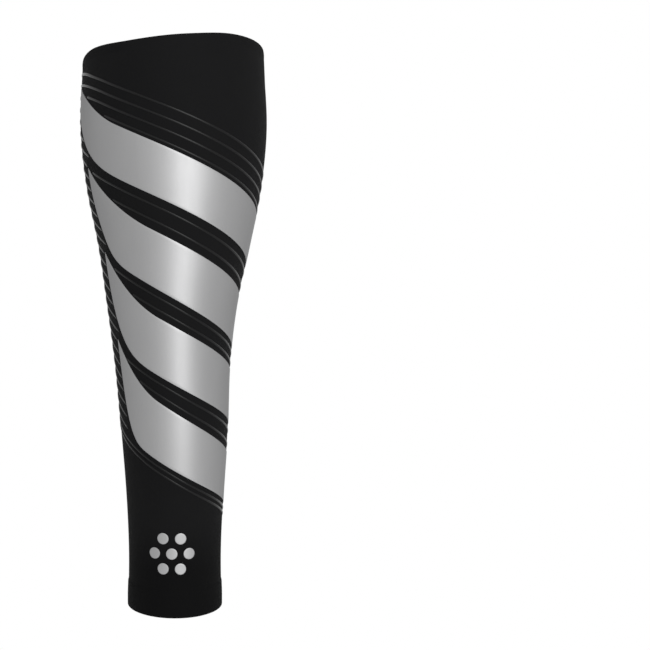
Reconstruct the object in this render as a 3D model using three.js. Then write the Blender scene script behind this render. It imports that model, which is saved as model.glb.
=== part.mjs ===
// Calf compression sleeve, filled out to the form of the leg that it fits.
// Millimetres, +Z up the leg. The front of the shin faces -Y and the inner side of the calf +X.
// A turn is an angle in degrees round the leg: 0 on the shin, 90 on the inner side, -90 on the outer side.
// Heights are counted up from the ankle end. The origin is on the leg's axis at the widest calf girth.
import * as THREE from 'three';
import { mergeVertices } from 'three/addons/utils/BufferGeometryUtils.js';

// The leg that the sleeve fits
const SLEEVE_LENGTH = 326.4;
const CALF_WIDTH = 113.4;
const CALF_DEPTH = 120;
const ANKLE_WIDTH = 55.2;
const ANKLE_DEPTH = 64;
const CALF_SET_BACK = 11;
const SHIN_BOW = 1.2;
const SHIN_NARROWING = 0.05;
const WIDEST_AT = 0.88;

// Knitted wall and its two hem bands
const WALL = 1.2;
const HEM_WALL = 1.9;
const HEM_PROUD = 0.4;
const KNEE_HEM_PROUD = 0.1;
const HEM_EDGE = 0.5;
const KNEE_HEM_HEIGHT = 6;
const ANKLE_HEM_HEIGHT = 16.5;
const KNEE_RIM_RISE = 6.6;

// Silver stripes bonded to the outside
const STRIPE_WIDTH = 32;
const STRIPE_FILM = 0.4;
const STRIPE_TIP = 1.2;

// Raised ribs
const RIB_WIDTH = 1.4;
const RIB_HEIGHT = 0.35;
const RIB_PITCH = 6.8;
const RIB_FALL_PER_TURN = 133.6;
const RIB_SWAY = 4.4;
const KNEE_RIBS = 4;
const KNEE_RIB_GAP = 1.1;
const KNEE_RIB_DIP = 6;
const GAP_RIBS = 2;
const GAP_RIB_SPREAD = 0.44;
const SIDE_RIBS = 27;
const ANKLE_RIBS = 2;
const ANKLE_RIB_DROP = 3.4;
const ANKLE_RIB_PITCH = 3.4;

// Hexagon of dots above the ankle
const DOT_DIAMETER = 6.4;
const DOT_SPACING = 10;
const DOT_SIDES = 16;
const DOTS_ROUND = 6;
const MARK_HEIGHT = 37;
const MARK_TURN = -4;

// Clearance between one piece and the next
const GAP = 0.3;
const EDGE_CLEARANCE = 0.6;

// Fineness of the faceted form
const SIDES = 40;
const BODY_ROWS = 16;
const STRIPE_ROWS = 3;
const TIP_COLUMNS = 5;
const TIP_SHARE = 0.5;
const SCAN_STEP = 0.5;

// Where the ribs and stripes end behind the leg and on the outer side, in degrees
const BACK_END = 164;
const KNEE_RIB_END = -96;
const DIP_STARTS = -46;
const DIP_FULL = -85;
const STRIP_RUN_ON = 4;
const STRIPE_TAIL_START = 96;
const STRIPE_TAIL_END = 158;
const TIP_CLEARANCE = 1.2;

// Sections up the leg, each at a share of the length.
// width and depth: share of the way from the ankle's to the calf's.
// back: share of the set back. bow: share of the bow.
const SECTIONS = [
  { at: 0.00, width: 0.01, depth: 0.00, back: 0.00, bow: 0.45 },
  { at: 0.10, width: 0.00, depth: 0.02, back: 0.00, bow: 0.45 },
  { at: 0.20, width: 0.05, depth: 0.09, back: 0.05, bow: 0.45 },
  { at: 0.32, width: 0.15, depth: 0.23, back: 0.14, bow: 0.20 },
  { at: 0.44, width: 0.24, depth: 0.39, back: 0.32, bow: -0.75 },
  { at: 0.55, width: 0.40, depth: 0.59, back: 0.59, bow: -1.00 },
  { at: 0.66, width: 0.63, depth: 0.79, back: 0.86, bow: 0.00 },
  { at: 0.77, width: 0.88, depth: 0.95, back: 1.00, bow: 0.00 },
  { at: 0.88, width: 1.00, depth: 1.00, back: 0.91, bow: -0.17 },
  { at: 1.00, width: 0.93, depth: 0.89, back: 0.55, bow: -0.40 },
];

// Rise of the knee rim round the leg. rise: share of the rim's rise.
const KNEE_RIM = [
  { turn: -180, rise: 0.45 },
  { turn: -95, rise: 0.00 },
  { turn: -62, rise: 0.23 },
  { turn: -28, rise: 0.06 },
  { turn: 10, rise: 0.40 },
  { turn: 40, rise: 0.86 },
  { turn: 70, rise: 1.00 },
  { turn: 100, rise: 0.80 },
  { turn: 180, rise: 0.45 },
];
const RIM_RISE_STARTS = 0.95;

// Stripes from the knee down.
// at: height of the upper edge on the shin, share of the length. width: share of the stripe width.
// fall and lowerFall: how steeply the two edges fall, shares of the ribs' fall.
// flick: how far the upper edge turns up at the tip, share of the stripe width, from flickTurn on.
// ease: how fully that turn up levels out again at the tip, as a share.
// hookTurn: where the lower edge starts to curve up to the tip. tipTurn: where both edges meet.
const STRIPES = [
  {
    at: 0.810, width: 0.94, fall: 1.10, lowerFall: 1.06,
    flick: 0.22, ease: 1, flickTurn: -38, hookTurn: -24, tipTurn: -82,
  },
  {
    at: 0.657, width: 0.99, fall: 1.05, lowerFall: 1.00,
    flick: 0.48, ease: 0, flickTurn: -18, hookTurn: -30, tipTurn: -70.6,
  },
  {
    at: 0.512, width: 1.03, fall: 0.94, lowerFall: 0.87,
    flick: 0.55, ease: 0, flickTurn: -12, hookTurn: -14, tipTurn: -66.3,
  },
  {
    at: 0.362, width: 1.05, fall: 0.96, lowerFall: 0.80,
    flick: 0.51, ease: 0, flickTurn: -16, hookTurn: -27, tipTurn: -62.5,
  },
];

// Fall of the top knee rib. The ribs under it come closer and closer to the fall of the first stripe.
const TOP_RIB_FALL = 1.02;

const RADIANS = Math.PI / 180;
const TURN_STEP = 360 / SIDES;

function material(name, color, roughness, metalness) {
  return new THREE.MeshStandardMaterial({ name, color, roughness, metalness });
}

const blackKnit = material('black_knit', 0x1b1b1c, 0.85, 0);
const hemKnit = material('hem_knit', 0x19191a, 0.9, 0);
const silverFilm = material('silver_film', 0xa9aaab, 0.4, 0.6);
const glossRib = material('gloss_rib', 0x202022, 0.35, 0);

// Smooth curve through the rows of a table, by one named column.
function smoothColumn(rows, key, column, place) {
  const last = rows.length - 1;
  const inside = Math.min(Math.max(place, rows[0][key]), rows[last][key]);
  let i = 0;
  while (i < last - 1 && rows[i + 1][key] < inside) {
    i += 1;
  }
  const slope = (k) => {
    const before = rows[Math.max(k - 1, 0)];
    const after = rows[Math.min(k + 1, last)];
    return (after[column] - before[column]) / (after[key] - before[key]);
  };
  const span = rows[i + 1][key] - rows[i][key];
  const u = (inside - rows[i][key]) / span;
  const start = rows[i][column] * (2 * u ** 3 - 3 * u ** 2 + 1) + slope(i) * span * (u ** 3 - 2 * u ** 2 + u);
  const end = rows[i + 1][column] * (3 * u ** 2 - 2 * u ** 3) + slope(i + 1) * span * (u ** 3 - u ** 2);
  return start + end;
}

// Half sizes and middle of the leg's section at a height.
function section(height) {
  const at = height / SLEEVE_LENGTH;
  const width = ANKLE_WIDTH + (CALF_WIDTH - ANKLE_WIDTH) * smoothColumn(SECTIONS, 'at', 'width', at);
  const depth = ANKLE_DEPTH + (CALF_DEPTH - ANKLE_DEPTH) * smoothColumn(SECTIONS, 'at', 'depth', at);
  return {
    halfWidth: width / 2,
    halfDepth: depth / 2,
    x: SHIN_BOW * smoothColumn(SECTIONS, 'at', 'bow', at),
    y: CALF_SET_BACK * smoothColumn(SECTIONS, 'at', 'back', at),
  };
}

// The rim lifts the cloth below it too, less and less further down.
function rimRise(turn, height) {
  const hemStart = 1 - KNEE_HEM_HEIGHT / SLEEVE_LENGTH;
  const share = (height / SLEEVE_LENGTH - RIM_RISE_STARTS) / (hemStart - RIM_RISE_STARTS);
  const inside = Math.min(Math.max(share, 0), 1);
  return KNEE_RIM_RISE * smoothColumn(KNEE_RIM, 'turn', 'rise', turn) * inside * inside * (3 - 2 * inside);
}

// Point on the leg at a turn and height, lifted outwards from the sleeve's outer face.
function onLeg(turn, height, lift) {
  const t = turn * RADIANS;
  const s = section(height);
  const alongX = s.halfWidth * (Math.cos(t) - SHIN_NARROWING * Math.cos(2 * t));
  const alongY = s.halfDepth * Math.sin(t);
  const size = Math.hypot(alongX, alongY);
  return new THREE.Vector3(
    s.x + s.halfWidth * Math.sin(t) * (1 - SHIN_NARROWING * Math.cos(t)) + lift * alongY / size,
    s.y - s.halfDepth * Math.cos(t) - lift * alongX / size,
    height + rimRise(turn, height),
  );
}

// Works every vertex of a flat or round blank onto the leg. place gives its turn, height and lift.
function shaped(geometry, place) {
  geometry.deleteAttribute('normal');
  geometry.deleteAttribute('uv');
  const position = geometry.getAttribute('position');
  const vertex = new THREE.Vector3();
  for (let i = 0; i < position.count; i += 1) {
    vertex.fromBufferAttribute(position, i);
    const { turn, height, lift } = place(vertex);
    const point = onLeg(turn, height, lift);
    position.setXYZ(i, point.x, point.y, point.z);
  }
  const closed = mergeVertices(geometry, 1e-4);
  closed.computeVertexNormals();
  return closed;
}

function piece(name, geometry, finish) {
  const mesh = new THREE.Mesh(geometry, finish);
  mesh.name = name;
  return mesh;
}

// A tube round the leg from a closed profile of { lift, height } corners.
function tube(profile) {
  const blankRadius = CALF_WIDTH;
  const ring = [...profile, profile[0]];
  const points = ring.map(({ lift, height }) => new THREE.Vector2(blankRadius + lift, height));
  return shaped(new THREE.LatheGeometry(points, SIDES), (vertex) => ({
    turn: Math.atan2(vertex.x, vertex.z) / RADIANS,
    height: vertex.y,
    lift: Math.hypot(vertex.x, vertex.z) - blankRadius,
  }));
}

function sleeveBody() {
  const bottom = ANKLE_HEM_HEIGHT + GAP;
  const top = SLEEVE_LENGTH - KNEE_HEM_HEIGHT - GAP;
  const outside = [];
  for (let row = 0; row <= BODY_ROWS; row += 1) {
    outside.push({ lift: 0, height: bottom + (top - bottom) * row / BODY_ROWS });
  }
  const inside = outside.map(({ height }) => ({ lift: -WALL, height })).reverse();
  return tube([...outside, ...inside]);
}

// A double hem band with softened outer edges.
function hemBand(bottom, top, outer) {
  const inner = outer - HEM_WALL;
  return tube([
    { lift: outer - HEM_EDGE, height: bottom },
    { lift: outer, height: bottom + HEM_EDGE },
    { lift: outer, height: (bottom + top) / 2 },
    { lift: outer, height: top - HEM_EDGE },
    { lift: outer - HEM_EDGE, height: top },
    { lift: inner, height: top },
    { lift: inner, height: (bottom + top) / 2 },
    { lift: inner, height: bottom },
  ]);
}

// How far a line that runs with the ribs has fallen at a turn.
function fall(turn) {
  return RIB_FALL_PER_TURN * turn / 360 + RIB_SWAY * (Math.cos(turn * RADIANS) - 1);
}

// A stripe's two edges at a turn, as they run across the shin.
function plainUpper(stripe, turn) {
  return stripe.at * SLEEVE_LENGTH - stripe.fall * fall(turn);
}

function plainLower(stripe, turn) {
  return stripe.at * SLEEVE_LENGTH - stripe.width * STRIPE_WIDTH - stripe.lowerFall * fall(turn);
}

// The same two edges with the hook that draws them up to the tip.
function stripeEdges(stripe, turn) {
  const upperAt = (t) => {
    const flicked = Math.max(0, (stripe.flickTurn - t) / (stripe.flickTurn - stripe.tipTurn));
    const turnedUp = flicked ** 2 * (1 + 2 * stripe.ease * (1 - flicked));
    return plainUpper(stripe, t) + stripe.flick * STRIPE_WIDTH * turnedUp;
  };
  const tipRise = upperAt(stripe.tipTurn) - STRIPE_TIP - plainLower(stripe, stripe.tipTurn);
  const hooked = Math.min(1, Math.max(0, (stripe.hookTurn - turn) / (stripe.hookTurn - stripe.tipTurn)));
  const lower = plainLower(stripe, turn) + tipRise * (1 - Math.sqrt(1 - hooked ** 4));
  return { upper: upperAt(turn), lower };
}

// Both edges of a stripe, drawn together behind the leg into a narrow end.
function stripeSpan(stripe, turn) {
  const { upper, lower } = stripeEdges(stripe, turn);
  const tail = Math.max(0, (turn - STRIPE_TAIL_START) / (STRIPE_TAIL_END - STRIPE_TAIL_START));
  const middle = (upper + lower) / 2;
  const half = (upper - lower) / 2;
  const narrowed = STRIPE_TIP / 2 + (half - STRIPE_TIP / 2) * (1 - tail ** 2);
  return { upper: middle + narrowed, lower: middle - narrowed };
}

// Turns of the facets between two ends, with both ends.
function facetTurns(start, end) {
  const turns = [start];
  for (let k = Math.floor(start / TURN_STEP) + 1; k * TURN_STEP < end - SCAN_STEP; k += 1) {
    if (k * TURN_STEP > start + SCAN_STEP) {
      turns.push(k * TURN_STEP);
    }
  }
  turns.push(end);
  return turns;
}

// The same, closer together where the stripe hooks up to its tip.
function stripeTurns(stripe) {
  const hooked = [];
  const hookSpan = stripe.hookTurn - stripe.tipTurn;
  for (let k = 0; k < TIP_COLUMNS; k += 1) {
    hooked.push(stripe.tipTurn + hookSpan * TIP_SHARE * (k / TIP_COLUMNS) ** 2);
  }
  const facets = facetTurns(stripe.tipTurn, STRIPE_TAIL_END);
  const all = [...hooked, ...facets].sort((a, b) => a - b);
  return all.filter((turn, i) => i === 0 || turn - all[i - 1] > SCAN_STEP / 2);
}

function stripeBlank(stripe) {
  const turns = stripeTurns(stripe);
  const columns = turns.length - 1;
  return shaped(new THREE.BoxGeometry(columns, 1, 1, columns, STRIPE_ROWS, 1), (vertex) => {
    const turn = turns[Math.round(vertex.x + columns / 2)];
    const { upper, lower } = stripeSpan(stripe, turn);
    return {
      turn,
      height: lower + (upper - lower) * (vertex.y + 0.5),
      lift: GAP + STRIPE_FILM * (vertex.z + 0.5),
    };
  });
}

// A rib is a three-sided bead that runs with its ridge outwards.
function ribBlank(heightAt, start, end) {
  const turns = facetTurns(start, end);
  const steps = turns.length - 1;
  const halfBase = Math.sin(Math.PI / 3);
  const baseDepth = Math.cos(Math.PI / 3);
  return shaped(new THREE.CylinderGeometry(1, 1, steps, 3, steps), (vertex) => {
    const turn = turns[Math.round(vertex.y + steps / 2)];
    return {
      turn,
      height: heightAt(turn) - vertex.x / halfBase * RIB_WIDTH / 2,
      lift: GAP + RIB_HEIGHT * (vertex.z + baseDepth) / (1 + baseDepth),
    };
  });
}

// True where a rib at this turn and height keeps clear of the stripes and both hem bands.
function clearOfPieces(turn, height) {
  const reach = RIB_WIDTH / 2 + EDGE_CLEARANCE;
  const lowest = ANKLE_HEM_HEIGHT + reach;
  const highest = SLEEVE_LENGTH - KNEE_HEM_HEIGHT - reach;
  if (height < lowest || height > highest) {
    return false;
  }
  return STRIPES.every((stripe) => {
    if (turn < stripe.tipTurn - TIP_CLEARANCE || turn > STRIPE_TAIL_END + TIP_CLEARANCE) {
      return true;
    }
    const { upper, lower } = stripeSpan(stripe, Math.min(Math.max(turn, stripe.tipTurn), STRIPE_TAIL_END));
    return height > upper + reach || height < lower - reach;
  });
}

// The longest clear stretch of a rib from one turn to another.
function clearStretch(heightAt, from, to) {
  let longest = { start: from, end: from };
  let start = from;
  for (let turn = from; turn <= to; turn += SCAN_STEP) {
    if (!clearOfPieces(turn, heightAt(turn))) {
      start = turn + SCAN_STEP;
    } else if (turn - start > longest.end - longest.start) {
      longest = { start, end: turn };
    }
  }
  return longest;
}

function rib(name, heightAt, from, to) {
  const { start, end } = clearStretch(heightAt, from, to);
  if (end - start < TURN_STEP) {
    return [];
  }
  return [piece(name, ribBlank(heightAt, start, end), glossRib)];
}

// How far a knee rib lies below its straight line where it levels out towards the outer side.
function kneeDip(turn) {
  return KNEE_RIB_DIP * (Math.max(0, DIP_STARTS - turn) / (DIP_STARTS - DIP_FULL)) ** 2;
}

// Turn at which the outer side strip ends in front for a rib that runs at heightAt,
// a little past a line through the tips of the stripes.
function stripEnd(heightAt) {
  const tips = STRIPES.map((stripe) => ({
    turn: stripe.tipTurn,
    height: stripeEdges(stripe, stripe.tipTurn).upper,
  }));
  tips.reverse();
  return smoothColumn(tips, 'height', 'turn', heightAt(tips[0].turn)) + STRIP_RUN_ON;
}

// Ribs that cross the shin above the first stripe and in each gap between two stripes.
function shinRibs() {
  const first = STRIPES[0];
  const lines = [];
  for (let k = KNEE_RIBS - 1; k >= 0; k -= 1) {
    const height = first.at * SLEEVE_LENGTH + RIB_WIDTH / 2 + EDGE_CLEARANCE + KNEE_RIB_GAP + k * RIB_PITCH;
    const steepness = THREE.MathUtils.lerp(first.fall, TOP_RIB_FALL, (k + 1) / KNEE_RIBS);
    lines.push((turn) => height - steepness * fall(turn) - kneeDip(turn));
  }
  STRIPES.slice(1).forEach((below, i) => {
    const above = STRIPES[i];
    for (let k = 0; k < GAP_RIBS; k += 1) {
      const share = 0.5 + GAP_RIB_SPREAD * (k / (GAP_RIBS - 1) - 0.5);
      lines.push((turn) => THREE.MathUtils.lerp(plainLower(above, turn), plainUpper(below, turn), share));
    }
  });
  return lines.flatMap((heightAt, i) => {
    const start = i < KNEE_RIBS ? KNEE_RIB_END : stripEnd(heightAt) + TIP_CLEARANCE;
    return rib(`shin_rib_${i + 1}`, heightAt, start, BACK_END);
  });
}

// The closer ribs that run right round below the last stripe.
function ankleRibs() {
  const last = STRIPES[STRIPES.length - 1];
  const ribs = [];
  for (let k = 0; k < ANKLE_RIBS; k += 1) {
    const below = ANKLE_RIB_DROP + k * ANKLE_RIB_PITCH;
    ribs.push(...rib(`ankle_rib_${k + 1}`, (turn) => plainLower(last, turn) - below, -BACK_END, BACK_END));
  }
  return ribs;
}

// Ribs of the outer side strip, from behind the leg to the tips of the stripes, evenly spaced.
function sideRibs() {
  const last = STRIPES[STRIPES.length - 1];
  const lowest = plainLower(last, 0) - ANKLE_RIB_DROP + RIB_PITCH;
  const highest = plainUpper(STRIPES[0], 0);
  const ribs = [];
  for (let k = 0; k < SIDE_RIBS; k += 1) {
    const share = k / (SIDE_RIBS - 1);
    const height = THREE.MathUtils.lerp(lowest, highest, share);
    const steepness = THREE.MathUtils.lerp(last.lowerFall, STRIPES[0].fall, share);
    const heightAt = (turn) => height - steepness * fall(turn);
    ribs.push(...rib(`side_rib_${k + 1}`, heightAt, -BACK_END, stripEnd(heightAt)));
  }
  return ribs;
}

// One dot in the middle and a ring of dots round it.
function markDots() {
  const local = section(MARK_HEIGHT);
  const turnPerLength = 1 / (local.halfWidth * (1 - SHIN_NARROWING) * RADIANS);
  const centres = [{ across: 0, up: 0 }];
  for (let k = 0; k < DOTS_ROUND; k += 1) {
    const angle = k * 2 * Math.PI / DOTS_ROUND;
    centres.push({ across: DOT_SPACING * Math.cos(angle), up: DOT_SPACING * Math.sin(angle) });
  }
  return centres.map(({ across, up }, i) => {
    const blank = new THREE.CylinderGeometry(DOT_DIAMETER / 2, DOT_DIAMETER / 2, 1, DOT_SIDES);
    blank.rotateX(Math.PI / 2);
    const geometry = shaped(blank, (vertex) => ({
      turn: MARK_TURN + (across + vertex.x) * turnPerLength,
      height: MARK_HEIGHT + up + vertex.y,
      lift: GAP + STRIPE_FILM * (vertex.z + 0.5),
    }));
    return piece(`mark_dot_${i + 1}`, geometry, silverFilm);
  });
}

function sleeve() {
  const onAxis = new THREE.Group();
  const widest = section(WIDEST_AT * SLEEVE_LENGTH);
  onAxis.position.set(-widest.x, -widest.y, -WIDEST_AT * SLEEVE_LENGTH);
  const kneeHem = hemBand(SLEEVE_LENGTH - KNEE_HEM_HEIGHT, SLEEVE_LENGTH, KNEE_HEM_PROUD);
  onAxis.add(piece('sleeve_body', sleeveBody(), blackKnit));
  onAxis.add(piece('knee_cuff', kneeHem, hemKnit));
  onAxis.add(piece('ankle_cuff', hemBand(0, ANKLE_HEM_HEIGHT, HEM_PROUD), hemKnit));
  STRIPES.forEach((stripe, i) => onAxis.add(piece(`stripe_${i + 1}`, stripeBlank(stripe), silverFilm)));
  onAxis.add(...shinRibs());
  onAxis.add(...ankleRibs());
  onAxis.add(...sideRibs());
  onAxis.add(...markDots());
  const whole = new THREE.Group();
  whole.add(onAxis);
  return whole;
}

export default sleeve();
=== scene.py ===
"""Looks of one calf compression sleeve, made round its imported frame.

Metres, +Z up the leg. The front of the shin faces -Y and the inner side of the calf +X.
A turn is an angle in degrees round the leg: 0 on the shin, 90 on the inner side, -90 on the outer side.
Heights are counted up from the ankle end.
"""
import math

import bpy
import numpy as np
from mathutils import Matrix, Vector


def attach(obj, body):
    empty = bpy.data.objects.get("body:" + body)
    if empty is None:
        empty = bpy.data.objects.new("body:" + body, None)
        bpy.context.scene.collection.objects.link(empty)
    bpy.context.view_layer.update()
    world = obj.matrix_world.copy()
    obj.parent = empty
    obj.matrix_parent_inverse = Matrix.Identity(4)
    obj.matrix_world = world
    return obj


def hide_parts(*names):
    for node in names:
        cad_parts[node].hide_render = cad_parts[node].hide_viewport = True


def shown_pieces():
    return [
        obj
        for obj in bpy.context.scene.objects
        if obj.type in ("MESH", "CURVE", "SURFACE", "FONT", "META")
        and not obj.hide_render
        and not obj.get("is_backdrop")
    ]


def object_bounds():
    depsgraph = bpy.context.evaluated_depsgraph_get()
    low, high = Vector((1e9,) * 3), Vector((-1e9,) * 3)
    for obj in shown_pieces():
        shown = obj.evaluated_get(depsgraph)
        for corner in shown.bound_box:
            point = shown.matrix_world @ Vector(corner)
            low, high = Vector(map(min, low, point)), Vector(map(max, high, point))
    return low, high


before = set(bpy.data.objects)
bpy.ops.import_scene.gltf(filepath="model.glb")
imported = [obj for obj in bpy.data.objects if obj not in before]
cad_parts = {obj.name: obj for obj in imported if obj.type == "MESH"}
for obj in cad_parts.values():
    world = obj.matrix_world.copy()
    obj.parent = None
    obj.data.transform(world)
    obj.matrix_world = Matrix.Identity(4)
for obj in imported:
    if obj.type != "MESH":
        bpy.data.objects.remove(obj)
CAD_BOX = [list(corner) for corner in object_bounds()]
ANKLE_END = CAD_BOX[0][2]

bl_info = {
    "name": "Calf compression sleeve",
    "version": (1, 0, 0),
    "blender": (4, 5, 0),
    "location": "3D View > Sidebar > Calf sleeve",
    "description": "Builds a knitted calf sleeve with silver stripes and raised ribs on its frame",
    "category": "Object",
}

MM = 0.001

# Points closer than this are merged, and edges flatter than this are shaded smooth.
MERGE_WITHIN = 0.001 * MM
SMOOTH_UP_TO = math.radians(40)

# Sections up the leg, each at a share of the length. The calf is widest at WIDEST_AT.
# width and depth: share of the way from the ankle's to the calf's.
# back: share of the set back. bow: share of the bow.
SECTIONS = [
    {"at": 0.00, "width": 0.01, "depth": 0.00, "back": 0.00, "bow": 0.45},
    {"at": 0.10, "width": 0.00, "depth": 0.02, "back": 0.00, "bow": 0.45},
    {"at": 0.20, "width": 0.05, "depth": 0.09, "back": 0.05, "bow": 0.45},
    {"at": 0.32, "width": 0.15, "depth": 0.23, "back": 0.14, "bow": 0.20},
    {"at": 0.44, "width": 0.24, "depth": 0.39, "back": 0.32, "bow": -0.75},
    {"at": 0.55, "width": 0.40, "depth": 0.59, "back": 0.59, "bow": -1.00},
    {"at": 0.66, "width": 0.63, "depth": 0.79, "back": 0.86, "bow": 0.00},
    {"at": 0.77, "width": 0.88, "depth": 0.95, "back": 1.00, "bow": 0.00},
    {"at": 0.88, "width": 1.00, "depth": 1.00, "back": 0.91, "bow": -0.17},
    {"at": 1.00, "width": 0.93, "depth": 0.89, "back": 0.55, "bow": -0.40},
]
WIDEST_AT = 0.88

# Rise of the knee rim round the leg. rise: share of the rim's rise.
# The cloth rises with it from RIM_RISE_STARTS on, a share of the length.
KNEE_RIM = [
    {"turn": -180, "rise": 0.45},
    {"turn": -95, "rise": 0.00},
    {"turn": -62, "rise": 0.23},
    {"turn": -28, "rise": 0.06},
    {"turn": 10, "rise": 0.40},
    {"turn": 40, "rise": 0.86},
    {"turn": 70, "rise": 1.00},
    {"turn": 100, "rise": 0.80},
    {"turn": 180, "rise": 0.45},
]
RIM_RISE_STARTS = 0.95

# Stripes from the knee down.
# at: height of the upper edge on the shin, share of the length. width: share of the stripe width.
# fall and lower_fall: how steeply the two edges fall, shares of the ribs' fall.
# flick: how far the upper edge turns up at the tip, share of the stripe width, from flick_turn on.
# ease: how fully that turn up levels out again at the tip, as a share.
# hook_turn: where the lower edge starts to curve up to the tip. tip_turn: where both edges meet.
STRIPE_COLUMNS = (
    "at", "width", "fall", "lower_fall", "flick", "ease", "flick_turn", "hook_turn", "tip_turn"
)
STRIPES = [
    dict(zip(STRIPE_COLUMNS, row))
    for row in (
        (0.810, 0.94, 1.10, 1.06, 0.22, 1, -38, -24, -82),
        (0.657, 0.99, 1.05, 1.00, 0.48, 0, -18, -30, -70.6),
        (0.512, 1.03, 0.94, 0.87, 0.55, 0, -12, -14, -66.3),
        (0.362, 1.05, 0.96, 0.80, 0.51, 0, -16, -27, -62.5),
    )
]

# Where the stripes narrow behind the leg and end, and how far the ribs keep from their tips, in degrees.
STRIPE_TAIL_START = 96
STRIPE_TAIL_END = 158
TIP_CLEARANCE = 1.2

# Fall of the top knee rib. The ribs under it come closer and closer to the fall of the first stripe.
TOP_RIB_FALL = 1.02

# Where the ribs end behind the leg and on the outer side, in degrees.
# STRIP_RUN_ON: how far the outer side strip runs past a line through the stripes' tips.
BACK_END = 164
KNEE_RIB_END = -96
STRIP_RUN_ON = 4

# Where the knee ribs start to level out and where their dip is full, in degrees.
DIP_STARTS = -46
DIP_FULL = -85

# Step of the search for the clear stretch of a rib, in degrees.
SCAN_STEP = 0.5

# Share of the length up to which the knit has its darker ankle colour, and over which it fades to its usual
# colour.
DARK_ANKLE_UP_TO = 0.08
DARK_ANKLE_FADE = 0.08

# How many ribs run above the first stripe, in each gap, on the side strip and below the last stripe.
KNEE_RIBS = 4
GAP_RIBS = 2
SIDE_RIBS = 27
ANKLE_RIBS = 2

# Share of a gap that lies between its two ribs.
GAP_RIB_SPREAD = 0.44

# How uneven each finish is. tone: weights of what varies its colour.
# dark and light: ends of that colour, as shares of it. swing: how far its roughness wanders.
# relief: weights of what its bump follows. depth and strength: of the bump.
FINISHES = {
    "black_knit": {
        "tone": {"dye": 0.45, "fibres": 0.35, "stitches": 0.3},
        "dark": 0.75,
        "light": 1.3,
        "swing": 0.16,
        "relief": {"stitches": 1, "fibres": 0.5},
        "depth": 0.12 * MM,
        "strength": 0.5,
    },
    "hem_knit": {
        "tone": {"dye": 0.5, "fibres": 0.35, "columns": 0.2},
        "dark": 0.75,
        "light": 1.3,
        "swing": 0.14,
        "relief": {"columns": 0.7, "stitches": 0.4, "fibres": 0.4},
        "depth": 0.14 * MM,
        "strength": 0.5,
    },
    "silver_film": {
        "tone": {"grain": 0.35, "streaks": 0.3, "patches": 0.35},
        "dark": 0.93,
        "light": 1.07,
        "swing": 0.08,
        "relief": {"grain": 0.7, "stitches": 0.3},
        "depth": 0.02 * MM,
        "strength": 0.4,
    },
    "gloss_rib": {"dark": 0.8, "light": 1.25, "swing": 0.1, "depth": 0.03 * MM, "strength": 0.4},
    "pale_floor": {"dark": 0.985, "light": 1.015, "swing": 0.05},
}
FILM_GRAIN_SWING = 0.06

# Noises of the finishes. waves: in a metre. detail: octaves. stretch: scale along X, Y and Z.
NOISES = {
    "dye": {"waves": 38, "detail": 3, "stretch": (1, 1, 1)},
    "hem_dye": {"waves": 52, "detail": 2, "stretch": (1, 1, 1)},
    "fibres": {"waves": 1400, "detail": 3, "stretch": (1, 1, 0.35)},
    "grain": {"waves": 2600, "detail": 2, "stretch": (1, 1, 1)},
    "streaks": {"waves": 420, "detail": 3, "stretch": (1, 1, 0.06)},
    "film_patches": {"waves": 60, "detail": 3, "stretch": (1, 1, 1)},
    "mould_marks": {"waves": 700, "detail": 2, "stretch": (1, 1, 1)},
    "speckle": {"waves": 30, "detail": 3, "stretch": (1, 1, 1)},
}

# How far the arms of a stitch rise along its column, as a share of a row.
STITCH_ARM = 0.6

# Refraction of the finishes, and how metallic the film is. Its edge tint keeps its rim from glaring.
KNIT_IOR = 1.1
FILM_IOR = 1.2
RIB_IOR = 1.25
FILM_METAL = 0.85
FILM_EDGE_TINT = (0.35, 0.35, 0.35, 1)

# Lights round the sleeve. azimuth: 0 in front, 90 on the inner side. height: over the ankle end.
# width and tall: size of the light, in metres. power: watts.
LIGHT_COLUMNS = ("name", "azimuth", "height", "distance", "width", "tall", "power")
LIGHTS = [
    dict(zip(LIGHT_COLUMNS, row))
    for row in (
        ("strip", 21.5, 0.5, 1.2, 0.76, 1.3, 17),
        ("soft_left", -16, 0.2, 1.5, 1.4, 1.6, 2.4),
    )
]

# Hexagon of dots above the ankle: how many stand round the middle one, and the turn of that one.
DOTS_ROUND = 6
MARK_TURN = -4


def length(name, description, millimetres):
    """A length property in metres, given here in millimetres."""
    return bpy.props.FloatProperty(
        name=name, description=description, default=millimetres * MM, unit="LENGTH", precision=5
    )


def share(name, description, default):
    """A property for a share or a factor."""
    return bpy.props.FloatProperty(name=name, description=description, default=default, subtype="FACTOR")


def count(name, description, default):
    """A property for a number of like things."""
    return bpy.props.IntProperty(name=name, description=description, default=default, min=3)


def colour(name, description, default):
    """A property for a colour, as red, green and blue."""
    return bpy.props.FloatVectorProperty(
        name=name, description=description, default=default, size=3, min=0, max=1, subtype="COLOR"
    )


class CALFSLEEVE_PG_leg(bpy.types.PropertyGroup):
    """Sizes of the leg form that every piece follows"""

    sleeve_length: length("Sleeve length", "From the ankle end to the lowest point of the knee rim", 326.4)
    calf_width: length("Calf width", "Side to side at the widest girth", 113.4)
    calf_depth: length("Calf depth", "Front to back at the widest girth", 120)
    ankle_width: length("Ankle width", "Side to side at the ankle", 55.2)
    ankle_depth: length("Ankle depth", "Front to back at the ankle", 64)
    calf_set_back: length("Calf set back", "How far the calf stands back from the ankle", 11)
    shin_bow: length("Shin bow", "Sideways bow of the shin", 1.2)
    shin_narrowing: share("Shin narrowing", "How much narrower the front of the leg is", 0.05)
    knee_rim_rise: length("Knee rim rise", "How much higher the rim is on the inner side", 6.6)


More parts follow.
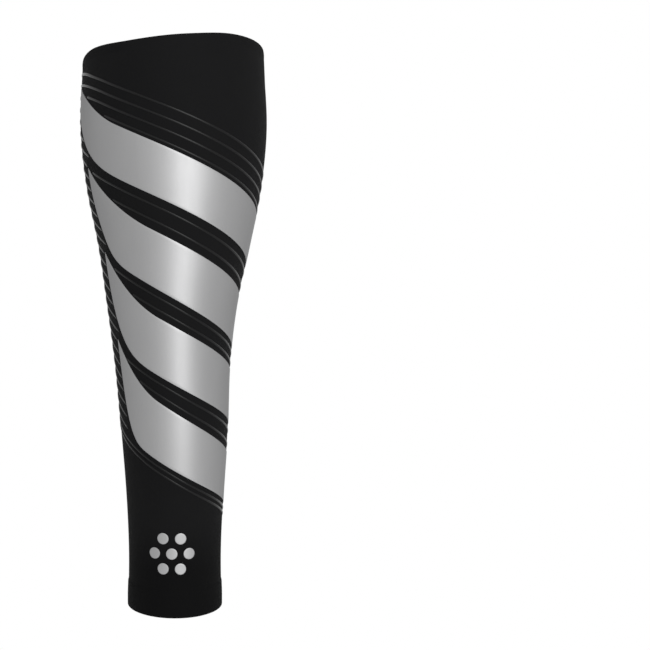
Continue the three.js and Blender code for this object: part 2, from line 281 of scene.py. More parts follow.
class CALFSLEEVE_PG_cloth(bpy.types.PropertyGroup):
    """Sizes and colours of the knitted tube and its hems"""

    wall: length("Wall", "Thickness of the knit", 1.2)
    hem_wall: length("Hem wall", "Thickness of the folded hem", 1.9)
    hem_proud: length("Hem proud", "How far the ankle hem stands out from the knit", 0.4)
    knee_hem_proud: length("Knee hem proud", "How far the knee hem stands out from the knit", 0.1)
    hem_crown: length("Hem crown", "Swell of the hem's outer face", 0.1)
    hem_shoulder: length("Hem shoulder", "Length over which the hem sinks to the knit", 2.4)
    knee_hem_height: length("Knee hem height", "Height of the hem at the knee", 6)
    ankle_hem_height: length("Ankle hem height", "Height of the hem at the ankle", 16.5)
    stretch: share("Stretch", "Girth as worn over girth as cut", 1.2)
    wales: count("Wales", "Columns of stitches round the tube", 720)
    courses: count("Courses", "Rows of stitches up the tube", 800)
    knit_colour: colour("Knit colour", "Yarn of the tube", (0.0044, 0.0044, 0.0046))
    # The ankle colour makes the knit darker towards the ankle end than the rest of the tube.
    ankle_colour: colour("Ankle colour", "Yarn of the darker knit at the ankle", (0.0023, 0.0023, 0.0024))
    knit_roughness: share("Knit roughness", "Roughness of the tube", 0.78)
    hem_roughness: share("Hem roughness", "Roughness of the hems", 0.82)


class CALFSLEEVE_PG_trim(bpy.types.PropertyGroup):
    """Sizes and colours of the stripes, ribs and dots"""

    stripe_width: length("Stripe width", "Usual width of a stripe on the shin", 32)
    stripe_tip: length("Stripe tip", "Width left at a stripe's ends", 1.2)
    film: length("Film", "Height of the silver film over the knit", 0.32)
    film_sunk: length("Film sunk", "Depth of the silver film in the knit", 0.05)
    film_edge: length("Film edge", "Rounding of the film's edges", 0.1)
    rib_width: length("Rib width", "Width of a raised rib", 1.4)
    rib_height: length("Rib height", "Height of a raised rib", 0.35)
    rib_pitch: length("Rib pitch", "Step from one rib to the next", 6.8)
    rib_fall: length("Rib fall", "How far a rib falls in one turn round the leg", 133.6)
    rib_sway: length("Rib sway", "How far a rib swings below its straight fall at the back", 4.4)
    ankle_rib_drop: length("Ankle rib drop", "From the last stripe to the first ankle rib", 3.4)
    ankle_rib_pitch: length("Ankle rib pitch", "Step between the ankle ribs", 3.4)
    knee_rib_dip: length("Knee rib dip", "How far the knee ribs level out on the outer side", 6)
    edge_clearance: length("Edge clearance", "Room between a rib and a stripe", 0.6)
    knee_rib_gap: length("Knee rib gap", "More room above the first stripe", 1.1)
    dot_diameter: length("Dot diameter", "Diameter of a silver dot", 6.4)
    dot_spacing: length("Dot spacing", "From one dot to the next", 10)
    mark_height: length("Mark height", "Height of the middle dot", 37)
    film_colour: colour("Film colour", "Silver film", (0.27, 0.27, 0.272))
    rib_colour: colour("Rib colour", "Glossy ribs", (0.0022, 0.0022, 0.0023))
    film_roughness: share("Film roughness", "Roughness of the silver film", 0.52)
    rib_roughness: share("Rib roughness", "Roughness of the ribs", 0.3)


class CALFSLEEVE_PG_stage(bpy.types.PropertyGroup):
    """Camera, light and floor"""

    camera_distance: length("Camera distance", "From the camera to the leg's axis", 650)
    camera_height: length("Camera height", "Height of the camera over the ankle end", 167.4)
    camera_side: length("Camera side", "From the leg's axis to the camera, towards the inner side", 0.2)
    lens: bpy.props.FloatProperty(
        name="Lens", description="Focal length in mm", default=59.077, unit="CAMERA"
    )
    shift: share("Shift", "Sideways shift that sets the sleeve left of the middle", 0.2323)
    floor_drop: length("Floor drop", "From the ankle end down to the floor", 500)
    floor_size: length("Floor size", "Side of the square floor", 2600)
    floor_colour: colour("Floor colour", "Pale floor", (0.85, 0.85, 0.85))
    floor_roughness: share("Floor roughness", "Roughness of the floor", 0.7)


def smooth_column(rows, key, column, place):
    """Smooth curve through the rows of a table, by one named column."""
    keys = np.array([row[key] for row in rows], float)
    values = np.array([row[column] for row in rows], float)
    before = np.maximum(np.arange(len(rows)) - 1, 0)
    after = np.minimum(np.arange(len(rows)) + 1, len(rows) - 1)
    slopes = (values[after] - values[before]) / (keys[after] - keys[before])
    inside = np.clip(place, keys[0], keys[-1])
    i = np.clip(np.searchsorted(keys, inside, side="right") - 1, 0, len(rows) - 2)
    span = keys[i + 1] - keys[i]
    u = (inside - keys[i]) / span
    start = values[i] * (2 * u**3 - 3 * u**2 + 1) + slopes[i] * span * (u**3 - 2 * u**2 + u)
    end = values[i + 1] * (3 * u**2 - 2 * u**3) + slopes[i + 1] * span * (u**3 - u**2)
    return start + end


def section(height):
    """Half width, half depth and middle of the leg's section at a height."""
    leg = bpy.context.scene.calf_leg

    def part(column):
        return smooth_column(SECTIONS, "at", column, height / leg.sleeve_length)

    width = leg.ankle_width + (leg.calf_width - leg.ankle_width) * part("width")
    depth = leg.ankle_depth + (leg.calf_depth - leg.ankle_depth) * part("depth")
    return width / 2, depth / 2, leg.shin_bow * part("bow"), leg.calf_set_back * part("back")


def rim_rise(turn, height):
    """The rim lifts the cloth below it too, less and less further down."""
    leg = bpy.context.scene.calf_leg
    hem_start = 1 - bpy.context.scene.calf_cloth.knee_hem_height / leg.sleeve_length
    risen = np.clip((height / leg.sleeve_length - RIM_RISE_STARTS) / (hem_start - RIM_RISE_STARTS), 0, 1)
    eased = risen * risen * (3 - 2 * risen)
    return leg.knee_rim_rise * smooth_column(KNEE_RIM, "turn", "rise", turn) * eased


def all_round(across):
    """Turn at a share of the way round the leg, from the back over the outer side."""
    return 360 * across - 180


def on_leg(turn, height, lift):
    """Points on the leg at turns and heights, lifted outwards from the knit's outer face."""
    leg = bpy.context.scene.calf_leg
    turn, height, lift = np.broadcast_arrays(turn, height, lift)
    t = np.radians(turn)
    half_width, half_depth, x, y = section(height)
    along_x = half_width * (np.cos(t) - leg.shin_narrowing * np.cos(2 * t))
    along_y = half_depth * np.sin(t)
    size = np.hypot(along_x, along_y)
    widest = WIDEST_AT * leg.sleeve_length
    _, _, origin_x, origin_y = section(widest)
    across = x + half_width * np.sin(t) * (1 - leg.shin_narrowing * np.cos(t)) + lift * along_y / size
    deep = y - half_depth * np.cos(t) - lift * along_x / size
    up = height + rim_rise(turn, height)
    return np.stack([across - origin_x, deep - origin_y, up - widest], axis=-1)


def fall(turn):
    """How far a line that runs with the ribs has fallen at a turn."""
    trim = bpy.context.scene.calf_trim
    return trim.rib_fall * turn / 360 + trim.rib_sway * (np.cos(np.radians(turn)) - 1)


def plain_upper(stripe, turn):
    """A stripe's upper edge as it runs across the shin."""
    return stripe["at"] * bpy.context.scene.calf_leg.sleeve_length - stripe["fall"] * fall(turn)


def plain_lower(stripe, turn):
    """A stripe's lower edge as it runs across the shin."""
    scene = bpy.context.scene
    start = stripe["at"] * scene.calf_leg.sleeve_length - stripe["width"] * scene.calf_trim.stripe_width
    return start - stripe["lower_fall"] * fall(turn)


def stripe_edges(stripe, turn):
    """Both edges of a stripe with the hook that draws them up to the tip."""
    trim = bpy.context.scene.calf_trim

    def upper_at(t):
        flicked = np.maximum(0, (stripe["flick_turn"] - t) / (stripe["flick_turn"] - stripe["tip_turn"]))
        turned_up = flicked**2 * (1 + 2 * stripe["ease"] * (1 - flicked))
        return plain_upper(stripe, t) + stripe["flick"] * trim.stripe_width * turned_up

    tip = stripe["tip_turn"]
    tip_rise = upper_at(tip) - trim.stripe_tip - plain_lower(stripe, tip)
    hooked = np.clip((stripe["hook_turn"] - turn) / (stripe["hook_turn"] - tip), 0, 1)
    return upper_at(turn), plain_lower(stripe, turn) + tip_rise * (1 - np.sqrt(1 - hooked**4))


def stripe_span(stripe, turn):
    """Both edges of a stripe, drawn together behind the leg into a narrow end."""
    tip = bpy.context.scene.calf_trim.stripe_tip
    upper, lower = stripe_edges(stripe, turn)
    tail = np.maximum(0, (turn - STRIPE_TAIL_START) / (STRIPE_TAIL_END - STRIPE_TAIL_START))
    middle = (upper + lower) / 2
    narrowed = tip / 2 + ((upper - lower) / 2 - tip / 2) * (1 - tail**2)
    return middle + narrowed, middle - narrowed


def clear_of_pieces(turn, height):
    """True where a rib at this turn and height keeps clear of the stripes and both hems."""
    scene = bpy.context.scene
    reach = scene.calf_trim.rib_width / 2 + scene.calf_trim.edge_clearance
    lowest = scene.calf_cloth.ankle_hem_height + reach
    highest = scene.calf_leg.sleeve_length - scene.calf_cloth.knee_hem_height - reach
    clear = (height > lowest) & (height < highest)
    for stripe in STRIPES:
        beside = (turn < stripe["tip_turn"] - TIP_CLEARANCE) | (turn > STRIPE_TAIL_END + TIP_CLEARANCE)
        upper, lower = stripe_span(stripe, np.clip(turn, stripe["tip_turn"], STRIPE_TAIL_END))
        clear &= beside | (height > upper + reach) | (height < lower - reach)
    return clear


def clear_stretch(height_at, start, end):
    """The longest clear stretch of a rib from one turn to another."""
    turns = np.arange(start, end + SCAN_STEP, SCAN_STEP)
    clear = np.concatenate([[False], clear_of_pieces(turns, height_at(turns)), [False]])
    changes = np.flatnonzero(clear[1:] != clear[:-1])
    first, past = max(zip(changes[::2], changes[1::2]), key=lambda run: run[1] - run[0])
    return turns[first], turns[past - 1]


def wrapped_grid(name, columns, rows, place, closed=False):
    """A grid primitive laid onto the leg.

    place turns its shares across and up into turns, heights and lifts. The UV map "knit" holds the
    share of the way round the leg and up the sleeve, so that stitches follow every piece.
    """
    bpy.ops.object.select_all(action="DESELECT")
    bpy.ops.mesh.primitive_grid_add(x_subdivisions=columns, y_subdivisions=rows, size=1, location=(0, 0, 0))
    piece = bpy.context.object
    piece.name = name
    mesh = piece.data
    mesh.name = name
    flat = np.empty(len(mesh.vertices) * 3)
    mesh.vertices.foreach_get("co", flat)
    across, up = flat.reshape(-1, 3)[:, :2].T + 0.5
    turn, height, lift = np.broadcast_arrays(*place(across, up))
    mesh.vertices.foreach_set("co", on_leg(turn, height, lift).ravel())
    corners = np.empty(len(mesh.loops), np.int32)
    mesh.loops.foreach_get("vertex_index", corners)
    sleeve_length = bpy.context.scene.calf_leg.sleeve_length
    knit = np.stack([turn[corners] / 360 + 0.5, height[corners] / sleeve_length], axis=-1)
    mesh.uv_layers.active.name = "knit"
    mesh.uv_layers.active.data.foreach_set("uv", knit.ravel())
    mesh.update()
    bpy.ops.object.mode_set(mode="EDIT")
    bpy.ops.mesh.select_all(action="SELECT")
    bpy.ops.mesh.remove_doubles(threshold=MERGE_WITHIN)
    if closed:
        bpy.ops.mesh.normals_make_consistent(inside=False)
    bpy.ops.object.mode_set(mode="OBJECT")
    return piece


def apply_modifier(piece, kind, **settings):
    """Adds one modifier and applies it."""
    modifier = piece.modifiers.new(kind.title(), kind)
    for setting, value in settings.items():
        setattr(modifier, setting, value)
    bpy.context.view_layer.objects.active = piece
    bpy.ops.object.modifier_apply(modifier=modifier.name)


def finish_piece(piece, look, slot, *nodes):
    """Shades a piece smooth, gives it its material and lets it stand for its CAD nodes."""
    bpy.ops.object.select_all(action="DESELECT")
    piece.select_set(True)
    bpy.context.view_layer.objects.active = piece
    bpy.ops.object.shade_smooth_by_angle(angle=SMOOTH_UP_TO)
    piece.data.materials.clear()
    piece.data.materials.append(look)
    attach(piece, "root")
    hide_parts(*nodes)


def bond_film(piece, look, node):
    """Gives a flat piece of film its thickness and soft edges, and lets it stand for its CAD node."""
    trim = bpy.context.scene.calf_trim
    apply_modifier(piece, "SOLIDIFY", thickness=trim.film + trim.film_sunk, offset=1)
    apply_modifier(piece, "BEVEL", width=trim.film_edge, segments=2, limit_method="ANGLE")
    finish_piece(piece, look, "silver_film", node)


class Value:
    """A number that varies over a surface. Arithmetic on it adds Math nodes."""

    def __init__(self, look, socket):
        self.look = look
        self.socket = socket

    def math(self, operation, *others, clamp=False):
        """One Math node, with this value as its first input."""
        settings = {"operation": operation, "use_clamp": clamp}
        node = self.look.node("Math", settings, dict(enumerate((self, *others))))
        return Value(self.look, node.outputs[0])

    def __add__(self, other):
        return self.math("ADD", other)

    def __sub__(self, other):
        return self.math("SUBTRACT", other)

    def __rsub__(self, other):
        return (self * -1) + other

    def __mul__(self, other):
        return self.math("MULTIPLY", other)

    __radd__ = __add__
    __rmul__ = __mul__

    def sin(self):
        return self.math("SINE")

    def fract(self):
        return self.math("FRACT")

    def size(self):
        return self.math("ABSOLUTE")

    def clamped(self):
        return self.math("MULTIPLY", 1, clamp=True)


class Look:
    """A material whose nodes are made by one method."""

    def __init__(self, name):
        self.finish = FINISHES[name]
        self.material = bpy.data.materials.new(name)
        self.material.use_nodes = True
        self.tree = self.material.node_tree
        self.tree.nodes.clear()

    def node(self, kind, settings=None, sockets=None):
        """A shader node with its settings, then the values or links of its sockets."""
        node = self.tree.nodes.new("ShaderNode" + kind)
        for setting, value in (settings or {}).items():
            setattr(node, setting, value)
        for socket, value in (sockets or {}).items():
            if isinstance(value, Value):
                self.tree.links.new(value.socket, node.inputs[socket])
            elif isinstance(value, bpy.types.NodeSocket):
                self.tree.links.new(value, node.inputs[socket])
            else:
                node.inputs[socket].default_value = value
        return node

    def knit_place(self):
        """Share round the leg and share up the sleeve."""
        uv = self.node("UVMap", {"uv_map": "knit"})
        split = self.node("SeparateXYZ", None, {0: uv.outputs[0]})
        return Value(self, split.outputs[0]), Value(self, split.outputs[1])

    def noise(self, name):
        """Soft noise from 0 to 1 in object coordinates, by its row in the table."""
        row = NOISES[name]
        place = self.node("TexCoord")
        mapping = self.node("Mapping", None, {0: place.outputs["Object"], "Scale": row["stretch"]})
        settings = {"noise_dimensions": "3D"}
        sockets = {"Vector": mapping.outputs[0], "Scale": row["waves"], "Detail": row["detail"]}
        return Value(self, self.node("TexNoise", settings, sockets).outputs[0])

    def stitches(self, wales, courses):
        """Height of plain knit, from 0 between the yarns to 1 on them: V-shaped stitches in columns."""
        around, up = self.knit_place()
        from_middle = ((around * wales).fract() - 0.5).size() * 2
        course = (up * courses + from_middle * STITCH_ARM).fract()
        return (from_middle * math.pi).sin() * (course * math.pi).sin()

    def blend(self, column, **parts):
        """Sum of some parts, each by its weight in a column of this finish."""
        weighted = [parts[name] * weight for name, weight in self.finish[column].items()]
        return sum(weighted[1:], weighted[0])

    def shade(self, low, high, amount):
        """A colour between two others, each given as red, green and blue or as a socket."""
        low, high = ((*part, 1) if isinstance(part, tuple) else part for part in (low, high))
        return self.node("Mix", {"data_type": "RGBA"}, {0: amount, 6: low, 7: high}).outputs[2]

    def uneven(self, rgb, amount):
        """A colour that varies between the dark and light ends of this finish."""
        dark, light = (
            tuple(min(1.0, part * self.finish[end]) for part in rgb) for end in ("dark", "light")
        )
        return self.shade(dark, light, amount)

    def wandering(self, roughness, amount):
        """A roughness that wanders round its middle by this finish's swing."""
        return roughness + (amount - 0.5) * self.finish["swing"]

    def bump(self, height):
        """A normal that follows a height, by this finish's depth and strength."""
        sockets = {"Height": height, "Distance": self.finish["depth"], "Strength": self.finish["strength"]}
        return self.node("Bump", None, sockets).outputs[0]

    def surface(self, **sockets):
        """The shader itself and the output. Names are the shader's own, with _ for a space."""
        named = {name.replace("_", " "): value for name, value in sockets.items()}
        shader = self.node("BsdfPrincipled", None, named)
        self.node("OutputMaterial", None, {"Surface": shader.outputs[0]})
        return self.material


def yarn_colour(look, tone):
    """Black yarn with uneven dye, darker towards the ankle."""
    cloth = bpy.context.scene.calf_cloth
    _, up = look.knit_place()
    above_dark_ankle = ((up - DARK_ANKLE_UP_TO) * (1 / DARK_ANKLE_FADE)).clamped()
    return look.shade(look.uneven(cloth.ankle_colour, tone), look.uneven(cloth.knit_colour, tone), above_dark_ankle)


def knit_look():
    """Fine matt elastic knit: V stitches, uneven dye and a little fuzz."""
    cloth = bpy.context.scene.calf_cloth
    look = Look("black_knit")
    stitches = look.stitches(cloth.wales, cloth.courses)
    fibres = look.noise("fibres")
    tone = look.blend("tone", dye=look.noise("dye"), fibres=fibres, stitches=stitches).clamped()
    return look.surface(
        Base_Color=yarn_colour(look, tone),
        Roughness=look.wandering(cloth.knit_roughness, fibres),
        IOR=KNIT_IOR,
        Normal=look.bump(look.blend("relief", stitches=stitches, fibres=fibres)),
    )


def hem_look():
    """Double knit of the hems: closer columns that stand out more."""
    cloth = bpy.context.scene.calf_cloth
    look = Look("hem_knit")
    around, _ = look.knit_place()
    columns = (around * cloth.wales * math.pi).sin().size()
    stitches = look.stitches(cloth.wales, cloth.courses)
    fibres = look.noise("fibres")
    tone = look.blend("tone", dye=look.noise("hem_dye"), fibres=fibres, columns=columns).clamped()
    return look.surface(
        Base_Color=yarn_colour(look, tone),
        Roughness=look.wandering(cloth.hem_roughness, fibres),
        IOR=KNIT_IOR,
        Normal=look.bump(look.blend("relief", columns=columns, stitches=stitches, fibres=fibres)),
    )


def film_look():
    """Satin silver film: fine grain, faint upright streaks and the knit showing through."""
    trim = bpy.context.scene.calf_trim
    cloth = bpy.context.scene.calf_cloth
    look = Look("silver_film")
    grain = look.noise("grain")
    streaks = look.noise("streaks")
    patches = look.noise("film_patches")
    tone = look.blend("tone", grain=grain, streaks=streaks, patches=patches).clamped()
    stitches = look.stitches(cloth.wales, cloth.courses)
    return look.surface(
        Base_Color=look.uneven(trim.film_colour, tone),
        Metallic=FILM_METAL,
        Roughness=look.wandering(trim.film_roughness, streaks) + (grain - 0.5) * FILM_GRAIN_SWING,
        IOR=FILM_IOR,
        Specular_Tint=FILM_EDGE_TINT,
        Normal=look.bump(look.blend("relief", grain=grain, stitches=stitches)),
    )


def rib_look():
    """Smooth black silicone with small moulding marks."""
    trim = bpy.context.scene.calf_trim
    look = Look("gloss_rib")
    marks = look.noise("mould_marks")
    return look.surface(
        Base_Color=look.uneven(trim.rib_colour, marks),
        Roughness=look.wandering(trim.rib_roughness, marks),
        IOR=RIB_IOR,
        Normal=look.bump(marks),
    )


def floor_look():
    """Matt pale floor with a faint speckle."""
    stage = bpy.context.scene.calf_stage
    look = Look("pale_floor")
    speckle = look.noise("speckle")
    return look.surface(
        Base_Color=look.uneven(stage.floor_colour, speckle),
        Roughness=look.wandering(stage.floor_roughness, speckle),
    )


class PieceOperator(bpy.types.Operator):
    """What every operator here shares"""

    bl_options = {"REGISTER", "UNDO"}


class CALFSLEEVE_OT_tube(PieceOperator):
    """Knits the tube that covers the calf, from one hem to the other"""

    bl_idname = "calf_sleeve.tube"
    bl_label = "Knit the tube"
    sides = 200
    rows = 150
    under_hem = 0.6 * MM

    def execute(self, context):
        cloth = context.scene.calf_cloth
        bottom = cloth.ankle_hem_height - self.under_hem
        top = context.scene.calf_leg.sleeve_length - cloth.knee_hem_height + self.under_hem

        def place(across, up):
            return all_round(across), bottom + (top - bottom) * up, 0.0

        tube = wrapped_grid("knit_tube", self.sides, self.rows, place)
        apply_modifier(tube, "SOLIDIFY", thickness=cloth.wall, offset=-1)
        finish_piece(tube, knit_look(), "black_knit", "sleeve_body")
        return {"FINISHED"}


class CALFSLEEVE_OT_hems(PieceOperator):
    """Folds the two hem bands over the tube's ends"""

    bl_idname = "calf_sleeve.hems"
    bl_label = "Fold the hems"
    sides = 200
    fold_steps = 12
    face_steps = 10
    shoulder_steps = 8
    inner_steps = 6

    def profile(self, rim, joint, proud):
        """Closed outline of a hem: lift and height of its points, with a round fold at the rim."""
        cloth = bpy.context.scene.calf_cloth
        inward = math.copysign(1, joint - rim)
        fold = cloth.hem_wall / 2
        middle = proud - fold
        points = []
        for k in range(self.fold_steps + 1):
            angle = math.pi * k / self.fold_steps
            lift = middle - fold * math.cos(angle)
            points.append((lift, rim + inward * fold * (1 - math.sin(angle))))
        face_start = rim + inward * fold
        face_end = joint - inward * cloth.hem_shoulder
        for k in range(1, self.face_steps):
            along = k / self.face_steps
            lift = proud + cloth.hem_crown * math.sin(math.pi * along)
            points.append((lift, face_start + (face_end - face_start) * along))
        for k in range(self.shoulder_steps + 1):
            along = k / self.shoulder_steps
            lift = proud * (1 + math.cos(math.pi * along)) / 2
            points.append((lift, face_end + inward * cloth.hem_shoulder * along))
        inner = proud - cloth.hem_wall
        for k in range(self.inner_steps + 1):
            points.append((inner, joint + (face_start - joint) * k / self.inner_steps))
        return np.array(points)

    def band(self, name, rim, joint, proud):
        """A hem all round the leg, from its outline."""
        points = self.profile(rim, joint, proud)
        steps = np.arange(len(points))

        def place(across, up):
            step = up * (len(points) - 1)
            lift = np.interp(step, steps, points[:, 0])
            height = np.interp(step, steps, points[:, 1])
            return all_round(across), height, lift

        return wrapped_grid(name, self.sides, len(points) - 1, place, closed=True)

    def execute(self, context):
        cloth = context.scene.calf_cloth
        top = context.scene.calf_leg.sleeve_length
        look = hem_look()
        knee = self.band("knee_hem", top, top - cloth.knee_hem_height, cloth.knee_hem_proud)
        finish_piece(knee, look, "hem_knit", "knee_cuff")
        ankle = self.band("ankle_hem", 0, cloth.ankle_hem_height, cloth.hem_proud)
        finish_piece(ankle, look, "hem_knit", "ankle_cuff")
        return {"FINISHED"}


class CALFSLEEVE_OT_stripes(PieceOperator):
    """Bonds the four silver stripes onto the tube"""

    bl_idname = "calf_sleeve.stripes"
    bl_label = "Bond the stripes"
    tip_columns = 36
    tip_crowding = 2
    columns = 200
    rows = 18

    def turns(self, stripe):
        """Turns of a stripe's columns, closer together towards its tip."""
        tip = stripe["tip_turn"]
        hook = stripe["hook_turn"]
        hooked = tip + (hook - tip) * (np.arange(self.tip_columns) / self.tip_columns) ** self.tip_crowding
        return np.concatenate([hooked, np.linspace(hook, STRIPE_TAIL_END, self.columns)])

    def stripe(self, number, stripe, look):
        """One stripe between its two edges, from its tip to its tail."""
        turns = self.turns(stripe)
        depth = bpy.context.scene.calf_trim.film_sunk

        def place(across, up):
            turn = turns[np.rint(across * (len(turns) - 1)).astype(int)]
            upper, lower = stripe_span(stripe, turn)
            return turn, lower + (upper - lower) * up, -depth

        piece = wrapped_grid(f"silver_stripe_{number}", len(turns) - 1, self.rows, place)
        bond_film(piece, look, f"stripe_{number}")

    def execute(self, context):
        look = film_look()
        for number, stripe in enumerate(STRIPES, 1):
            self.stripe(number, stripe, look)
        return {"FINISHED"}


class CALFSLEEVE_OT_ribs(PieceOperator):
    """Moulds the thin raised ribs between and beside the stripes"""

    bl_idname = "calf_sleeve.ribs"
    bl_label = "Mould the ribs"
    sides = 12
    degrees_a_column = 1.6
    end_columns = 7
    end_degrees = 3.0
    end_crowding = 1.6
    sunk_share = 0.2

    def rib(self, name, node, look, height_at, start, end):
        """A round-backed bead along one line, with rounded ends."""
        start, end = clear_stretch(height_at, start, end)
        trim = bpy.context.scene.calf_trim
        middle_columns = max(2, round((end - start - 2 * self.end_degrees) / self.degrees_a_column))
        ends = self.end_degrees * (np.arange(self.end_columns) / self.end_columns) ** self.end_crowding
        middle = np.linspace(start + self.end_degrees, end - self.end_degrees, middle_columns + 1)
        turns = np.concatenate([start + ends, middle, (end - ends)[::-1]])
        from_end = np.minimum(turns - start, end - turns) / self.end_degrees
        sizes = np.sqrt(1 - (1 - np.clip(from_end, 0, 1)) ** 2)

        def place(across, up):
            column = np.rint(across * (len(turns) - 1)).astype(int)
            turn = turns[column]
            size = sizes[column]
            angle = 2 * math.pi * up
            rise = np.sin(angle)
            lift = trim.rib_height * size * np.where(rise > 0, rise, rise * self.sunk_share)
            return turn, height_at(turn) - np.cos(angle) * trim.rib_width / 2 * size, lift

        piece = wrapped_grid(name, len(turns) - 1, self.sides, place, closed=True)
        finish_piece(piece, look, "gloss_rib", node)

    def knee_dip(self, turn):
        """How far a knee rib lies below its straight line where it levels out on the outer side."""
        levelled = np.maximum(0, DIP_STARTS - turn) / (DIP_STARTS - DIP_FULL)
        return bpy.context.scene.calf_trim.knee_rib_dip * levelled**2

    def shin_lines(self):
        """Height of each rib that crosses the shin, from the knee down."""
        trim = bpy.context.scene.calf_trim
        first = STRIPES[0]
        lines = []
        for k in reversed(range(KNEE_RIBS)):
            above = trim.rib_width / 2 + trim.edge_clearance + trim.knee_rib_gap + k * trim.rib_pitch
            part = (k + 1) / KNEE_RIBS

            def across(turn, above=above, part=part):
                steepness = first["fall"] * (1 - part) + TOP_RIB_FALL * part
                return plain_upper(first, 0) + above - steepness * fall(turn) - self.knee_dip(turn)

            lines.append(across)
        for above, below in zip(STRIPES, STRIPES[1:]):
            for k in range(GAP_RIBS):
                part = 0.5 + GAP_RIB_SPREAD * (k / (GAP_RIBS - 1) - 0.5)

                def between(turn, above=above, below=below, part=part):
                    return plain_lower(above, turn) * (1 - part) + plain_upper(below, turn) * part

                lines.append(between)
        return lines

    def ankle_lines(self):
        """Height of each rib below the last stripe, from the top."""
        trim = bpy.context.scene.calf_trim
        lines = []
        for k in range(ANKLE_RIBS):
            below = trim.ankle_rib_drop + k * trim.ankle_rib_pitch

            def under(turn, below=below):
                return plain_lower(STRIPES[-1], turn) - below

            lines.append(under)
        return lines

    def side_lines(self):
        """Height of each rib on the outer side strip, from the ankle up."""
        trim = bpy.context.scene.calf_trim
        first = STRIPES[0]
        last = STRIPES[-1]
        lowest = plain_lower(last, 0) - trim.ankle_rib_drop + trim.rib_pitch
        highest = plain_upper(first, 0)
        lines = []
        for k in range(SIDE_RIBS):
            part = k / (SIDE_RIBS - 1)
            height = lowest * (1 - part) + highest * part
            steepness = last["lower_fall"] * (1 - part) + first["fall"] * part

            def beside(turn, height=height, steepness=steepness):
                return height - steepness * fall(turn)

            lines.append(beside)
        return lines

    def strip_end(self, height_at):
        """Turn where the outer side strip ends in front, a little past the stripes' tips."""
        tips = [
            {"turn": stripe["tip_turn"], "height": stripe_edges(stripe, stripe["tip_turn"])[0]}
            for stripe in reversed(STRIPES)
        ]
        return smooth_column(tips, "height", "turn", height_at(tips[0]["turn"])) + STRIP_RUN_ON

    def execute(self, context):
        look = rib_look()
        for k, line in enumerate(self.shin_lines(), 1):
            start = KNEE_RIB_END if k <= KNEE_RIBS else self.strip_end(line) + TIP_CLEARANCE
            self.rib(f"shin_bead_{k}", f"shin_rib_{k}", look, line, start, BACK_END)
        for k, line in enumerate(self.ankle_lines(), 1):
            self.rib(f"ankle_bead_{k}", f"ankle_rib_{k}", look, line, -BACK_END, BACK_END)
        for k, line in enumerate(self.side_lines(), 1):
            self.rib(f"side_bead_{k}", f"side_rib_{k}", look, line, -BACK_END, self.strip_end(line))
        return {"FINISHED"}


class CALFSLEEVE_OT_dots(PieceOperator):
    """Bonds a hexagon of silver dots above the ankle"""

    bl_idname = "calf_sleeve.dots"
    bl_label = "Bond the dots"
    sides = 48
    rings = 5

    def dot(self, number, across_leg, up_leg, look):
        """One dot, laid on the leg beside and above the middle one."""
        trim = bpy.context.scene.calf_trim
        half_width = section(trim.mark_height)[0]
        narrowing = bpy.context.scene.calf_leg.shin_narrowing
        turn_per_length = math.degrees(1 / (half_width * (1 - narrowing)))

        def place(across, up):
            angle = -2 * math.pi * across
            radius = trim.dot_diameter / 2 * up
            turn = MARK_TURN + (across_leg + radius * np.cos(angle)) * turn_per_length
            return turn, trim.mark_height + up_leg + radius * np.sin(angle), -trim.film_sunk

        piece = wrapped_grid(f"silver_dot_{number}", self.sides, self.rings, place)
        bond_film(piece, look, f"mark_dot_{number}")

    def execute(self, context):
        spacing = context.scene.calf_trim.dot_spacing
        look = bpy.data.objects["silver_stripe_1"].data.materials[0]
        self.dot(1, 0.0, 0.0, look)
        for k in range(DOTS_ROUND):
            angle = 2 * math.pi * k / DOTS_ROUND
            self.dot(k + 2, spacing * math.cos(angle), spacing * math.sin(angle), look)
        return {"FINISHED"}


class CALFSLEEVE_OT_declare(PieceOperator):
    """Works out rings of points round the leg between the hems, and does nothing more with them"""

    bl_idname = "calf_sleeve.declare"
    bl_label = "Declare the cloth"
    girths_measured = 60
    steps_round = 240

    def execute(self, context):
        leg = context.scene.calf_leg
        cloth = context.scene.calf_cloth
        top = leg.sleeve_length - cloth.knee_hem_height
        heights = np.linspace(cloth.ankle_hem_height, top, self.girths_measured)
        turns = np.linspace(-180, 180, self.steps_round + 1)
        rings = on_leg(turns[None, :], heights[:, None], 0.0)
        return {"FINISHED"}


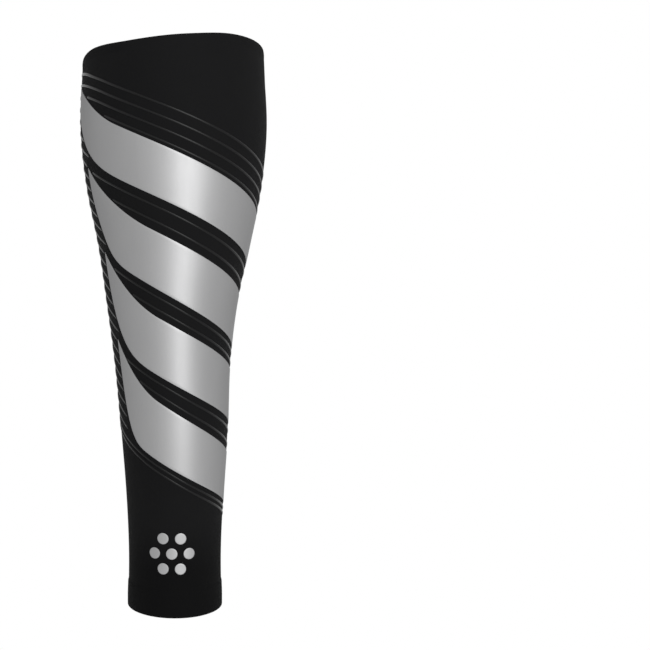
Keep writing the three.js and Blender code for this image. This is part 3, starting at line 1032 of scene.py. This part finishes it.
class CALFSLEEVE_OT_stage(PieceOperator):
    """Sets the camera, the soft white light and a pale floor"""

    bl_idname = "calf_sleeve.stage"
    bl_label = "Set the stage"
    aim_height = 160 * MM
    sensor_width = 36

    def light(self, name, azimuth, height, distance, width, tall, power):
        """An area light that faces the sleeve."""
        data = bpy.data.lights.new(name, "AREA")
        data.shape = "RECTANGLE"
        data.size = width
        data.size_y = tall
        data.energy = power
        light = bpy.data.objects.new(name, data)
        around = math.radians(azimuth)
        light.location = (distance * math.sin(around), -distance * math.cos(around), ANKLE_END + height)
        fall_angle = math.atan2(height - self.aim_height, distance)
        light.rotation_euler = (math.pi / 2 - fall_angle, 0, around)
        bpy.context.scene.collection.objects.link(light)

    def camera(self, stage):
        """A camera level with the leg, as the photograph's was."""
        data = bpy.data.cameras.new("camera")
        data.sensor_width = self.sensor_width
        data.lens = stage.lens
        data.shift_x = stage.shift
        camera = bpy.data.objects.new("camera", data)
        camera.location = (stage.camera_side, -stage.camera_distance, ANKLE_END + stage.camera_height)
        camera.rotation_euler = (math.pi / 2, 0, 0)
        bpy.context.scene.collection.objects.link(camera)
        bpy.context.scene.camera = camera

    def world(self):
        """An even white room."""
        world = bpy.data.worlds.new("white_room")
        world.use_nodes = True
        background = world.node_tree.nodes["Background"]
        background.inputs["Color"].default_value = (1, 1, 1, 1)
        background.inputs["Strength"].default_value = 1.0
        bpy.context.scene.world = world
        bpy.context.scene.view_settings.view_transform = "Standard"

    def floor(self, stage):
        """A pale floor far below the sleeve."""
        bpy.ops.object.select_all(action="DESELECT")
        place = (0, 0, ANKLE_END - stage.floor_drop)
        bpy.ops.mesh.primitive_plane_add(size=stage.floor_size, location=place)
        floor = bpy.context.object
        floor.name = "floor"
        floor.data.materials.append(floor_look())
        floor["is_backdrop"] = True

    def execute(self, context):
        stage = context.scene.calf_stage
        self.camera(stage)
        self.world()
        for row in LIGHTS:
            self.light(**row)
        self.floor(stage)
        return {"FINISHED"}


class CALFSLEEVE_PT_panel(bpy.types.Panel):
    """Lists the steps that build the sleeve"""

    bl_label = "Calf sleeve"
    bl_idname = "CALFSLEEVE_PT_panel"
    bl_space_type = "VIEW_3D"
    bl_region_type = "UI"
    bl_category = "Calf sleeve"

    def draw(self, context):
        for operator in OPERATORS:
            self.layout.operator(operator.bl_idname)
        for group in GROUPS:
            box = self.layout.box()
            settings = getattr(context.scene, group)
            for name in settings.bl_rna.properties.keys():
                if name not in ("rna_type", "name"):
                    box.prop(settings, name)


OPERATORS = (
    CALFSLEEVE_OT_tube,
    CALFSLEEVE_OT_hems,
    CALFSLEEVE_OT_stripes,
    CALFSLEEVE_OT_ribs,
    CALFSLEEVE_OT_dots,
    CALFSLEEVE_OT_declare,
    CALFSLEEVE_OT_stage,
)
GROUPS = {
    "calf_leg": CALFSLEEVE_PG_leg,
    "calf_cloth": CALFSLEEVE_PG_cloth,
    "calf_trim": CALFSLEEVE_PG_trim,
    "calf_stage": CALFSLEEVE_PG_stage,
}
CLASSES = (*GROUPS.values(), *OPERATORS, CALFSLEEVE_PT_panel)


def register():
    for cls in CLASSES:
        bpy.utils.register_class(cls)
    for name, group in GROUPS.items():
        setattr(bpy.types.Scene, name, bpy.props.PointerProperty(type=group))


def unregister():
    for name in GROUPS:
        delattr(bpy.types.Scene, name)
    for cls in reversed(CLASSES):
        bpy.utils.unregister_class(cls)


def main():
    register()
    bpy.ops.calf_sleeve.tube()
    bpy.ops.calf_sleeve.hems()
    bpy.ops.calf_sleeve.stripes()
    bpy.ops.calf_sleeve.ribs()
    bpy.ops.calf_sleeve.dots()
    bpy.ops.calf_sleeve.declare()
    bpy.ops.calf_sleeve.stage()


if __name__ == "__main__":
    main()
